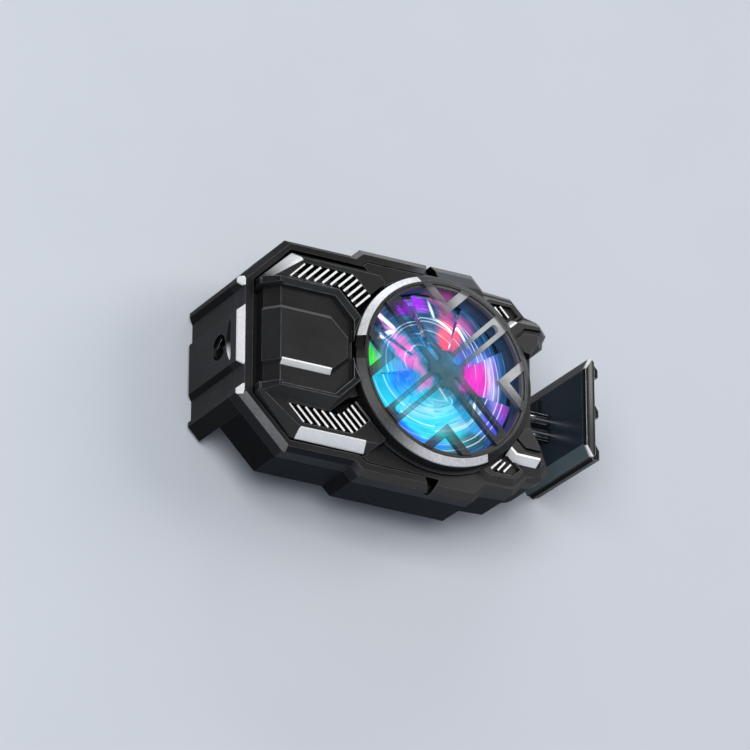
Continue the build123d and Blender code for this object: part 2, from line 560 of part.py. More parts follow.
# three saw-tooth grip ribs on the outside; they stop short of the front rim
RIBS = [
    [(35.0, 9.9), (35.3, 9.9), (X_JAW_OUT, 8.6), (X_JAW_OUT, 7.0), (35.3, 6.6), (35.0, 6.6)],
    [(35.0, 1.7), (35.3, 1.7), (X_JAW_OUT, -0.2), (X_JAW_OUT, -1.6), (35.3, -2.1), (35.0, -2.1)],
    [(34.6, -6.8), (35.3, -6.8), (X_JAW_OUT, -8.7), (X_JAW_OUT, -10.7), (35.3, -11.0), (34.6, -10.45)],
]
for r in RIBS:
    jaw += prism(r, Z_JAW_REAR, Z_JAW_FRONT - 0.6)
jaw -= half_space((X_JAW_OUT, 0, -6.6), (1, 0, -1))
jaw -= half_space((X_JAW + 0.45, 0, Z_JAW_FRONT), (-1, 0, 0.5))
save("moving_jaw", one(jaw))
save("moving_jaw_pad", box(X_JAW - PAD, X_JAW, -7.4, 7.4, -6.9, -0.3))
arm = box(12.6, X_JAW, -ARM_HALF, ARM_HALF, 2.3, 3.2)
arm += box(12.6, 14.1, -11.4, 11.4, 2.3, 4.55)
for y in (ROD_Y, -ROD_Y):
    arm -= Plane(origin=(14.1, y, ROD_Z), z_dir=(1, 0, 0)) * Cylinder(ROD_R, 25, align=(Align.CENTER, Align.CENTER, Align.MIN))
save("slide_arm", one(arm))
rods = []
for y in (ROD_Y, -ROD_Y):
    rods.append(Plane(origin=(14.1, y, ROD_Z), z_dir=(1, 0, 0)) * Cylinder(ROD_R, X_JAW - 14.1, align=(Align.CENTER, Align.CENTER, Align.MIN)))
save("slide_rods", group(rods))
# closed-coil return springs, drawn between the anchor posts and the arm's crossbar
prof = [(-15.2, 0.9)]
x = -15.2
n = 34
step = (12.6 + 15.2) / n
for i in range(n):
    prof += [(x + 0.15 * step, 1.15), (x + 0.5 * step, 1.35), (x + 0.85 * step, 1.15)]
    x += step
prof += [(12.6, 0.9)]
springs = []
for y in (9.8, -9.8):
    f = Face(wire([(px, y + pr, 3.5) for px, pr in prof]))
    springs.append(Solid.revolve(f, 360, Axis((0, y, 3.5), (1, 0, 0))))
save("return_springs", group(springs))
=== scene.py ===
import bpy
import json
import math
from mathutils import Matrix, Vector


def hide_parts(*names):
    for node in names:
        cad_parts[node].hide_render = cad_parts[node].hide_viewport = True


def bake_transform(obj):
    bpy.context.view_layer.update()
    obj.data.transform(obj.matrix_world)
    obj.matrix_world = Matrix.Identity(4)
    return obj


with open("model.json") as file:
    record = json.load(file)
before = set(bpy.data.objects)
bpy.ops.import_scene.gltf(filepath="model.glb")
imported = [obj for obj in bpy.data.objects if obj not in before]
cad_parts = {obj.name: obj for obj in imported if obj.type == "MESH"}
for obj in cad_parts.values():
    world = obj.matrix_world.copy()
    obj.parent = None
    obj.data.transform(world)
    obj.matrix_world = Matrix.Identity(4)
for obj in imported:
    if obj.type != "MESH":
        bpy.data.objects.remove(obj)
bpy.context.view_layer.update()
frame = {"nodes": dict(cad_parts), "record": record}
nodes = frame["nodes"]
MM = 0.001


# ------------------------------------------------------------------ camera
def camera(place_mm, right, down, ahead, focal_px):
    c = bpy.data.cameras.new("camera")
    c.sensor_width = 36.0
    c.lens = focal_px / 750.0 * 36.0
    c.clip_start, c.clip_end = 0.05, 20.0
    o = bpy.data.objects.new("camera", c)
    o.matrix_world = Matrix((
        (right[0], -down[0], -ahead[0], place_mm[0] * MM),
        (right[1], -down[1], -ahead[1], place_mm[1] * MM),
        (right[2], -down[2], -ahead[2], place_mm[2] * MM),
        (0, 0, 0, 1),
    ))
    bpy.context.scene.collection.objects.link(o)
    bpy.context.scene.camera = o
    return o


camera((-444.017, -378.557, 768.304),
       (0.868289, 0.000642, 0.496058), (0.197679, -0.917616, -0.344825), (0.454969, 0.397468, -0.796883),
       4887.83)


# ------------------------------------------------------------------ node helpers
class Mat:
    def __init__(self, name):
        self.m = bpy.data.materials.new(name)
        self.m.use_nodes = True
        self.t = self.m.node_tree
        self.t.nodes.clear()
        self.out = self.t.nodes.new("ShaderNodeOutputMaterial")
        self.b = self.t.nodes.new("ShaderNodeBsdfPrincipled")
        self.t.links.new(self.b.outputs[0], self.out.inputs[0])
        self.pos = self.t.nodes.new("ShaderNodeTexCoord").outputs["Object"]

    def put(self, socket, value):
        if isinstance(value, bpy.types.NodeSocket):
            self.t.links.new(value, socket)
        elif isinstance(value, (tuple, list)) and len(value) == 3 and len(socket.default_value) == 4:
            socket.default_value = (*value, 1.0)
        else:
            socket.default_value = value

    def node(self, kind, ins=None, **attrs):
        n = self.t.nodes.new(kind)
        for k, v in attrs.items():
            setattr(n, k, v)
        for k, v in (ins or {}).items():
            self.put(n.inputs[k], v)
        return n

    def set(self, **ins):
        for k, v in ins.items():
            self.put(self.b.inputs[k.replace("_", " ")], v)

    def math(self, op, a, b=0.0, c=0.0, clamp=False):
        return self.node("ShaderNodeMath", {0: a, 1: b, 2: c}, operation=op, use_clamp=clamp).outputs[0]

    def vec(self, op, a, b=(0, 0, 0), out=0):
        n = self.node("ShaderNodeVectorMath", {0: a}, operation=op)
        if isinstance(b, bpy.types.NodeSocket) or isinstance(b, (tuple, list)):
            self.put(n.inputs[1], b)
        else:
            n.inputs["Scale"].default_value = b
        return n.outputs[out]

    def noise(self, at, scale, detail=2.0, rough=0.5, warp=0.0):
        return self.node("ShaderNodeTexNoise", {"Vector": at, "Scale": scale, "Detail": detail, "Roughness": rough, "Distortion": warp}).outputs[0]

    def span(self, v, a, b, c=0.0, d=1.0, smooth=True):
        n = self.node("ShaderNodeMapRange", {0: v, 1: a, 2: b, 3: c, 4: d}, interpolation_type="SMOOTHSTEP" if smooth else "LINEAR")
        n.clamp = True
        return n.outputs[0]

    def mix(self, f, a, b, how="MIX"):
        n = self.node("ShaderNodeMix", data_type="RGBA", blend_type=how)
        self.put(n.inputs[0], f)
        self.put(n.inputs[6], a)
        self.put(n.inputs[7], b)
        return n.outputs[2]

    def stretch(self, at, sx, sy, sz, rot=(0, 0, 0)):
        return self.node("ShaderNodeMapping", {"Vector": at, "Scale": (sx, sy, sz), "Rotation": rot}).outputs[0]

    def bump(self, height, strength, distance, soft=0.00013):
        n = self.node("ShaderNodeBevel", {"Radius": soft}, samples=4).outputs[0]
        return self.node("ShaderNodeBump", {"Height": height, "Strength": strength, "Distance": distance, "Normal": n}).outputs[0]

    def openness(self, distance=0.0008, low=0.30, high=0.85):
        # 0 deep in a groove, 1 in the open; the mask for painted shade in grooves and for keeping painted edge
        # highlights out of them
        if not hasattr(self, "ao"):
            self.ao = self.node("ShaderNodeAmbientOcclusion", {"Distance": distance}, samples=5).outputs["AO"]
        return self.span(self.ao, low, high)

    def edges(self, radius=0.00020, low=0.006, high=0.085):
        # mask for a painted edge highlight: 1 along sharp outer edges, most where they face up and outwards, 0 on flats
        # and in corners
        bv = self.node("ShaderNodeBevel", {"Radius": radius}, samples=6).outputs[0]
        ge = self.node("ShaderNodeNewGeometry").outputs["Normal"]
        d = self.vec("DOT_PRODUCT", bv, ge, out=1)
        e = self.span(self.math("SUBTRACT", 1.0, d), low, high)
        lit = self.span(self.vec("DOT_PRODUCT", bv, (-0.25, 0.62, 0.74), out=1), 0.05, 0.85, 0.30, 1.0)
        return self.math("MULTIPLY", self.math("MULTIPLY", e, lit), self.openness(0.0008, 0.55, 0.85))

    def xyz(self, at=None):
        s = self.node("ShaderNodeSeparateXYZ", {0: at or self.pos})
        return s.outputs


def plastic(name, dark, light, rough=(0.36, 0.50), grain=5200.0, bump=0.10, edge=(0.13, 0.13, 0.135), edge_amount=0.75, specular=0.28, coat=0.0, shade=None):
    g = Mat(name)
    cloud = g.noise(g.pos, 70.0, 3.0, 0.55)
    fine = g.noise(g.pos, grain, 2.0, 0.6)
    speck = g.noise(g.pos, grain * 0.37, 3.0, 0.7)
    col = g.mix(g.span(cloud, 0.35, 0.65), dark, light)
    col = g.mix(g.math("MULTIPLY", g.span(speck, 0.48, 0.72), 0.35), col, tuple(min(1, c * 1.7) for c in light))
    # painted highlight along the sharp outer edges, broken up by noise
    e = g.math("MULTIPLY", g.edges(), g.span(g.noise(g.pos, 420.0, 4.0, 0.6), 0.30, 0.62, 0.45, 1.0))
    if shade:
        col = shade(g, col)
    col = g.mix(g.math("MULTIPLY", e, edge_amount), col, edge)
    # painted shade deep in grooves and gaps
    col = g.mix(g.openness(), (0.0006, 0.0006, 0.0007), col)
    g.set(Base_Color=col, IOR=1.47, Metallic=0.0)
    g.b.inputs["Specular IOR Level"].default_value = specular
    r = g.span(g.math("ADD", g.math("MULTIPLY", fine, 0.6), g.math("MULTIPLY", cloud, 0.4)), 0.3, 0.7, rough[0], rough[1], False)
    g.set(Roughness=r)
    if coat:
        g.b.inputs["Coat Weight"].default_value = coat
        g.b.inputs["Coat Roughness"].default_value = 0.08
    h = g.math("ADD", fine, g.math("MULTIPLY", g.noise(g.pos, grain * 2.1, 1.0, 0.5), 0.5))
    g.set(Normal=g.bump(h, bump, 0.00004))
    return g.m


def metal(name, dark, light, rough=(0.20, 0.34), grain=(900.0, 5200.0, 900.0), rot=(0, 0, 0), bump=0.05, edge=(0.95, 0.95, 0.97), metallic=1.0, edge_amount=0.6):
    g = Mat(name)
    brush = g.noise(g.stretch(g.pos, *grain, rot), 1.0, 3.0, 0.6)
    cloud = g.noise(g.pos, 160.0, 3.0, 0.5)
    col = g.mix(g.span(g.math("ADD", g.math("MULTIPLY", brush, 0.55), g.math("MULTIPLY", cloud, 0.45)), 0.35, 0.65), dark, light)
    # painted highlight along the sharp outer edges
    col = g.mix(g.math("MULTIPLY", g.edges(0.00015), edge_amount), col, edge)
    g.set(Base_Color=col, Metallic=metallic)
    g.set(Roughness=g.span(brush, 0.3, 0.7, rough[0], rough[1], False))
    g.set(Normal=g.bump(brush, bump, 0.00003))
    return g.m


M = {}


def normal_axis(g, k):
    return g.xyz(g.node("ShaderNodeNewGeometry").outputs["Normal"])[k]


def painted_band_shade(g, col):
    # painted shade on the sloping sides of the three bands and in the thumb notch; a painted highlight where the low
    # end of the notch catches the light
    x = g.xyz()
    col = g.mix(g.span(g.math("ABSOLUTE", normal_axis(g, 1)), 0.25, 0.45), col, (0.0016, 0.0017, 0.002))
    k = g.math("MULTIPLY", g.math("GREATER_THAN", x[0], -0.04327), g.math("LESS_THAN", g.math("ABSOLUTE", x[1]), 0.0048))
    k = g.math("MULTIPLY", k, g.math("MULTIPLY", g.math("GREATER_THAN", x[2], 0.0086), g.math("LESS_THAN", x[2], 0.0107)))
    col = g.mix(g.math("MULTIPLY", k, 0.8), col, (0.003, 0.003, 0.0033))
    return g.mix(g.math("MULTIPLY", k, g.span(x[1], 0.0004, -0.0030, 0.0, 0.9)), col, (0.80, 0.80, 0.80))


def painted_light_right(g, col):
    # painted light: warmer and paler towards the fan, palest on the bevels that face up beside it
    x = g.xyz()
    k = g.span(x[0], -0.016, 0.010)
    col = g.mix(g.math("MULTIPLY", k, 0.85), col, (0.048, 0.046, 0.045))
    up = g.math("MULTIPLY", g.span(normal_axis(g, 1), 0.30, 0.55), g.span(x[0], -0.0195, -0.0175))
    side = g.span(x[2], 0.0125, 0.0132)
    col = g.mix(g.math("MULTIPLY", g.math("MULTIPLY", up, side), 0.85), col, (0.190, 0.188, 0.186))
    # painted light and shade on the facets that face down: paler beside the fan, dark blue elsewhere
    ny = normal_axis(g, 1)
    low = g.math("MULTIPLY", g.span(ny, -0.30, -0.50), g.span(ny, -0.90, -0.80))
    bevel = g.mix(g.span(x[0], -0.0185, -0.0165), (0.004, 0.007, 0.010), (0.046, 0.044, 0.043))
    col = g.mix(g.math("MULTIPLY", g.math("MULTIPLY", low, side), 0.9), col, bevel)
    col = g.mix(g.math("MULTIPLY", g.math("MULTIPLY", low, g.math("SUBTRACT", 1.0, side)), 0.85), col, (0.0012, 0.0025, 0.0040))
    # the long upper edge strip beside the fan is a cool grey
    strip = g.math("MULTIPLY", g.math("MULTIPLY", g.span(x[1], 0.0208, 0.0212), g.span(x[0], -0.0060, -0.0015)), g.span(normal_axis(g, 2), 0.8, 0.95))
    col = g.mix(g.math("MULTIPLY", strip, 0.8), col, (0.102, 0.116, 0.132))
    # painted reflection: dark navy on the faces that point straight down
    col = g.mix(g.math("MULTIPLY", g.span(ny, -0.80, -0.90), 0.9), col, (0.0008, 0.0050, 0.0110))
    # painted shade: the V notch in each long side is black inside
    k = g.math("MULTIPLY", g.math("LESS_THAN", g.math("ABSOLUTE", g.math("SUBTRACT", x[0], 0.0004)), 0.0032), g.math("GREATER_THAN", g.math("ABSOLUTE", x[1]), 0.0206))
    inner = g.math("MULTIPLY", g.math("LESS_THAN", g.math("ABSOLUTE", x[1]), 0.02165), g.math("GREATER_THAN", g.math("ABSOLUTE", ny), 0.8))
    inner = g.math("MAXIMUM", inner, g.math("GREATER_THAN", g.math("ABSOLUTE", normal_axis(g, 0)), 0.5))
    return g.mix(g.math("MULTIPLY", k, g.math("MULTIPLY", inner, g.math("LESS_THAN", x[2], 0.0140))), col, (0.0004, 0.0004, 0.0005))


def painted_light_facets(g, col):
    # painted light: the boss rim is paler where it turns towards the fan, and a little where it faces down
    nx, ny = normal_axis(g, 0), normal_axis(g, 1)
    k = g.span(g.math("ADD", g.math("MULTIPLY", nx, 0.8), g.math("MULTIPLY", ny, 0.35)), 0.22, 0.50)
    col = g.mix(g.math("MULTIPLY", k, 0.8), col, (0.055, 0.055, 0.056))
    col = g.mix(g.span(ny, -0.35, -0.60, 0.0, 0.85), col, (0.034, 0.034, 0.035))
    # painted light on the end facet beside the lower trim
    x = g.xyz()
    end = g.math("MULTIPLY", g.math("MULTIPLY", g.span(nx, 0.15, 0.35), g.span(x[1], -0.0158, -0.0166)), g.span(x[0], -0.0172, -0.0168))
    return g.mix(g.math("MULTIPLY", end, g.span(x[0], -0.0165, -0.0135, 0.85, 0.15)), col, (0.190, 0.190, 0.188))


def painted_light_top(g, col):
    # the plate's upper slope catches the light
    ny = normal_axis(g, 1)
    return g.mix(g.span(ny, 0.25, 0.50, 0.0, 0.9), col, (0.135, 0.135, 0.136))


def painted_light_rim(g, col):
    # satin front edge of the sliding jaw, with a painted reflection: a soft light band along its middle
    x = g.xyz()
    front = g.span(x[2], 0.0158, 0.0163)
    band = g.span(g.math("ABSOLUTE", g.math("SUBTRACT", x[0], 0.03440)), 0.0001, 0.0007, 1.0, 0.0)
    soft = g.mix(g.span(x[1], -0.0070, 0.0060), (0.060, 0.058, 0.056), (0.205, 0.200, 0.190))
    rim = g.mix(band, (0.009, 0.0095, 0.010), soft)
    # painted highlights: both ends of the rim are bright towards the phone
    end = g.math("ABSOLUTE", x[1])
    inset = g.math("ADD", g.math("MULTIPLY", g.math("SUBTRACT", x[0], 0.0329), 0.84), g.math("MULTIPLY", g.math("SUBTRACT", 0.0086, end), 0.54))
    tip = g.math("MULTIPLY", g.span(end, 0.0081, 0.0084), g.span(inset, 0.00075, 0.00050))
    rim = g.mix(g.math("MULTIPLY", tip, 0.9), rim, (0.80, 0.81, 0.82))
    # painted reflection, light and shade below the rim: navy on the inner face, teal-grey on its lower facet, near
    # black on faces turned up, down or outwards
    under = g.math("SUBTRACT", 1.0, front)
    nx, ny = normal_axis(g, 0), normal_axis(g, 1)
    inner = g.span(nx, -0.6, -0.9)
    col = g.mix(g.math("MULTIPLY", g.math("MULTIPLY", inner, under), 0.85), col, (0.024, 0.036, 0.052))
    facet = g.math("MULTIPLY", g.math("MULTIPLY", g.span(ny, -0.25, -0.38), g.span(ny, -0.70, -0.55)), g.math("MULTIPLY", inner, under))
    col = g.mix(front, col, rim)
    away = g.math("MAXIMUM", g.math("MAXIMUM", g.span(ny, 0.20, 0.38), g.span(ny, -0.60, -0.75)), g.span(nx, 0.15, 0.35))
    col = g.mix(g.math("MULTIPLY", away, under), col, (0.0008, 0.001, 0.0015))
    return g.mix(g.math("MULTIPLY", facet, 0.9), col, (0.110, 0.150, 0.165))


M["housing_plastic"] = plastic("housing_plastic", (0.0045, 0.0052, 0.0068), (0.008, 0.009, 0.0115), rough=(0.44, 0.60), edge=(0.050, 0.053, 0.060), edge_amount=0.6, specular=0.12)
M["cover_plastic"] = plastic("cover_plastic", (0.009, 0.009, 0.0095), (0.016, 0.016, 0.0165), rough=(0.34, 0.50), edge=(0.23, 0.23, 0.232), edge_amount=0.8, specular=0.13, shade=painted_light_right)
M["panel_plastic"] = plastic("panel_plastic", (0.009, 0.009, 0.0095), (0.0165, 0.0165, 0.017), rough=(0.36, 0.52), edge=(0.27, 0.27, 0.272), edge_amount=0.9, specular=0.17, shade=painted_light_facets)
M["plate"] = plastic("plate_plastic", (0.010, 0.010, 0.0105), (0.018, 0.018, 0.0185), rough=(0.36, 0.52), edge=(0.24, 0.24, 0.242), edge_amount=0.85, specular=0.19, shade=painted_light_top)
M["jaw_plastic"] = plastic("jaw_plastic", (0.004, 0.005, 0.007), (0.007, 0.008, 0.011), rough=(0.24, 0.34), bump=0.03, edge=(0.90, 0.90, 0.91), edge_amount=1.0, specular=0.09, shade=painted_light_rim)
M["banded"] = plastic("banded_plastic", (0.018, 0.0183, 0.019), (0.026, 0.0264, 0.0275), rough=(0.46, 0.60), edge=(0.095, 0.098, 0.105), edge_amount=0.7, specular=0.10, shade=painted_band_shade)
M["inlet_plastic"] = plastic("inlet_plastic", (0.003, 0.003, 0.003), (0.006, 0.006, 0.006), rough=(0.30, 0.45), edge_amount=0.2)
M["chip_plastic"] = plastic("chip_plastic", (0.010, 0.010, 0.011), (0.018, 0.018, 0.019), rough=(0.5, 0.65), edge_amount=0.3)
M["pad_rubber"] = plastic("pad_rubber", (0.010, 0.010, 0.011), (0.017, 0.017, 0.018), rough=(0.72, 0.86), grain=2600.0, bump=0.25, edge=(0.05, 0.05, 0.05), edge_amount=0.5, specular=0.3)
M["thermal_rubber"] = plastic("thermal_rubber", (0.16, 0.17, 0.19), (0.22, 0.23, 0.25), rough=(0.66, 0.80), grain=2400.0, bump=0.2, edge=(0.3, 0.3, 0.32), edge_amount=0.4, specular=0.35)
M["white_ceramic"] = plastic("white_ceramic", (0.66, 0.66, 0.64), (0.76, 0.76, 0.74), rough=(0.45, 0.6), edge=(0.5, 0.5, 0.48), edge_amount=0.4)
M["core_steel"] = metal("core_steel", (0.20, 0.21, 0.22), (0.32, 0.33, 0.35), rough=(0.35, 0.5), grain=(400.0, 400.0, 6000.0))
M["bearing_bronze"] = metal("bearing_bronze", (0.42, 0.27, 0.13), (0.60, 0.41, 0.20), rough=(0.3, 0.45))
M["coil_copper"] = metal("coil_copper", (0.38, 0.12, 0.045), (0.62, 0.24, 0.09), rough=(0.22, 0.35), grain=(600.0, 600.0, 7000.0))
M["magnet"] = metal("magnet", (0.05, 0.05, 0.055), (0.09, 0.09, 0.095), rough=(0.45, 0.6), metallic=0.7, edge=(0.2, 0.2, 0.2))
M["plain_aluminium"] = metal("plain_aluminium", (0.50, 0.51, 0.53), (0.66, 0.67, 0.69), rough=(0.30, 0.44), grain=(500.0, 7000.0, 500.0))
M["polished_steel"] = metal("polished_steel", (0.66, 0.67, 0.69), (0.80, 0.81, 0.83), rough=(0.08, 0.16), grain=(500.0, 6000.0, 6000.0), bump=0.02)
M["screw_steel"] = metal("screw_steel", (0.12, 0.125, 0.135), (0.20, 0.205, 0.22), rough=(0.28, 0.42), edge=(0.5, 0.5, 0.52))
M["spring_steel"] = metal("spring_steel", (0.46, 0.47, 0.49), (0.62, 0.63, 0.65), rough=(0.2, 0.32))
M["bright_trim"] = metal("bright_trim", (0.88, 0.876, 0.868), (0.98, 0.976, 0.968), rough=(0.30, 0.42), grain=(2600.0, 2600.0, 900.0), metallic=0.35)
M["grey_trim"] = metal("grey_trim", (0.105, 0.106, 0.108), (0.165, 0.166, 0.17), rough=(0.34, 0.46), grain=(2600.0, 2600.0, 900.0), metallic=0.35, edge=(0.35, 0.35, 0.36), edge_amount=0.45)


def circuit_board():
    g = Mat("circuit_board")
    n = g.noise(g.pos, 260.0, 2.0, 0.4)
    tracks = g.node("ShaderNodeTexVoronoi", {"Vector": g.pos, "Scale": 620.0}, feature="DISTANCE_TO_EDGE").outputs[0]
    line = g.span(tracks, 0.04, 0.09, 1.0, 0.0)
    pads = g.span(g.node("ShaderNodeTexVoronoi", {"Vector": g.pos, "Scale": 480.0}, feature="F1").outputs[0], 0.14, 0.19, 1.0, 0.0)
    col = g.mix(n, (0.010, 0.055, 0.030), (0.016, 0.085, 0.045))
    col = g.mix(g.math("MULTIPLY", line, 0.6), col, (0.03, 0.16, 0.08))
    col = g.mix(pads, col, (0.55, 0.50, 0.38))
    g.set(Base_Color=col, Metallic=g.math("MULTIPLY", pads, 0.9), Roughness=g.span(pads, 0.0, 1.0, 0.38, 0.28, False))
    g.set(Normal=g.bump(g.math("ADD", line, pads), 0.3, 0.00004))
    return g.m


M["circuit_board"] = circuit_board()


def lamp():
    g = Mat("lamp")
    n = g.noise(g.pos, 1500.0, 2.0)
    g.set(Base_Color=g.mix(n, (0.85, 0.83, 0.70), (0.95, 0.93, 0.85)), Roughness=g.span(n, 0.3, 0.7, 0.15, 0.3, False))
    x = g.xyz()
    g.set(Emission_Color=g.mix(g.span(x[0], -0.006, 0.006), (0.1, 0.75, 1.0), (0.9, 0.2, 1.0)))
    g.b.inputs["Emission Strength"].default_value = 6.0
    return g.m


M["lamp"] = lamp()


# slats: bright on top, black rail underneath; the lower grille's last slat is a dim one
LAST_SLAT = -0.02995
def slat_material():
    g = Mat("grille_slats")
    x = g.xyz()
    top = g.math("MULTIPLY", g.span(x[2], 0.0145, 0.0152), g.span(normal_axis(g, 2), 0.4, 0.7))
    n = g.noise(g.stretch(g.pos, 2600.0, 2600.0, 700.0), 1.0, 3.0, 0.6)
    bright = g.mix(g.span(n, 0.35, 0.65), (0.84, 0.84, 0.84), (0.97, 0.97, 0.97))
    # darker along the rounded edges of the bright slat tops
    bevel_normal = g.node("ShaderNodeBevel", {"Radius": 0.00022}, samples=6).outputs[0]
    flat = g.vec("DOT_PRODUCT", bevel_normal, g.node("ShaderNodeNewGeometry").outputs["Normal"], out=1)
    top = g.math("MULTIPLY", top, g.span(flat, 0.86, 0.97, 0.12, 1.0))
    last = g.math("MULTIPLY", g.math("LESS_THAN", x[1], 0.0), g.math("MULTIPLY", g.math("LESS_THAN", x[0], 0.0), g.math("GREATER_THAN", g.math("ADD", x[0], x[1]), LAST_SLAT)))
    bright = g.mix(last, bright, (0.10, 0.10, 0.10))
    g.set(Base_Color=g.mix(top, (0.008, 0.008, 0.0085), bright), Metallic=g.math("MULTIPLY", top, 0.25))
    g.set(Roughness=g.span(n, 0.3, 0.7, 0.32, 0.45, False), Normal=g.bump(n, 0.05, 0.00003))
    return g.m


M["grille"] = slat_material()


# light thrown up through the rotor: soft patches of colour smeared round the axis
PATCHES = (
    # centre x, y, half sizes (mm), turn, colour, amount, softness
    (-8.0, -6.5, 12.5, 9.5, -25, (0.010, 0.560, 0.800), 0.95, 0.45),
    (-1.5, -9.5, 11.5, 6.0, 8, (0.020, 0.640, 0.860), 0.90, 0.40),
    (0.5, -12.8, 8.0, 2.6, 12, (0.060, 0.840, 0.800), 0.75, 0.30),
    (-12.4, -10.4, 4.2, 2.6, -45, (0.010, 0.120, 0.880), 0.75, 0.30),
    (-1.6, -14.2, 6.0, 1.7, 10, (0.010, 0.170, 0.900), 0.85, 0.35),
    (-6.6, -12.4, 4.6, 1.5, -32, (0.010, 0.110, 0.900), 0.90, 0.40),
    (-7.2, -1.6, 3.0, 5.0, -15, (0.015, 0.120, 0.860), 0.80, 0.20),
    (-9.6, 4.2, 5.5, 4.0, 35, (0.010, 0.330, 0.620), 0.75, 0.30),
    (-2.2, 5.4, 4.2, 4.0, 0, (0.015, 0.300, 0.640), 0.80, 0.30),
    (6.0, 7.2, 6.5, 4.5, -45, (0.030, 0.070, 0.420), 0.90, 0.40),
    (3.4, 3.4, 3.4, 2.6, 20, (0.020, 0.340, 0.820), 0.75, 0.20),
    (11.6, 4.6, 4.5, 3.6, -60, (0.120, 0.200, 0.860), 0.85, 0.30),
    (13.2, 0.0, 2.6, 5.0, 10, (0.340, 0.260, 0.880), 0.70, 0.20),
    (9.2, 1.6, 4.8, 3.6, 30, (0.850, 0.035, 0.560), 1.00, 0.45),
    (12.8, -7.4, 3.6, 4.2, 25, (0.080, 0.080, 0.820), 0.90, 0.30),
    (8.6, -8.0, 4.5, 3.4, -30, (0.030, 0.360, 0.700), 0.80, 0.30),
    (3.3, 10.6, 2.6, 4.8, -8, (0.880, 0.110, 0.190), 1.00, 0.50),
    (5.4, 13.4, 5.6, 1.7, -24, (0.520, 0.130, 0.420), 0.80, 0.30),
    (-6.4, 14.4, 4.6, 1.9, 12, (0.380, 0.020, 0.880), 1.00, 0.50),
    (-9.4, 13.4, 2.8, 1.5, 30, (0.008, 0.004, 0.030), 0.85, 0.30),
    (-14.0, 8.4, 2.0, 2.6, -35, (0.010, 0.008, 0.040), 0.90, 0.45),
    (-13.4, 10.6, 3.6, 0.8, -32, (0.800, 0.040, 0.800), 0.95, 0.40),
    (-14.9, 1.9, 2.7, 3.3, 8, (0.020, 0.820, 0.015), 1.00, 0.62),
    (-15.9, -1.8, 1.4, 1.6, 0, (0.010, 0.560, 0.420), 0.80, 0.30),
    (-11.4, 8.2, 1.5, 1.3, -10, (0.004, 0.006, 0.030), 0.90, 0.50),
    (1.4, 17.2, 3.4, 1.8, -8, (0.780, 0.160, 0.600), 0.90, 0.40),
    (9.2, -11.2, 4.2, 2.2, 32, (0.006, 0.070, 0.070), 0.90, 0.35),
    (14.8, -4.2, 1.4, 3.0, 0, (0.420, 0.030, 0.620), 0.70, 0.20),
)


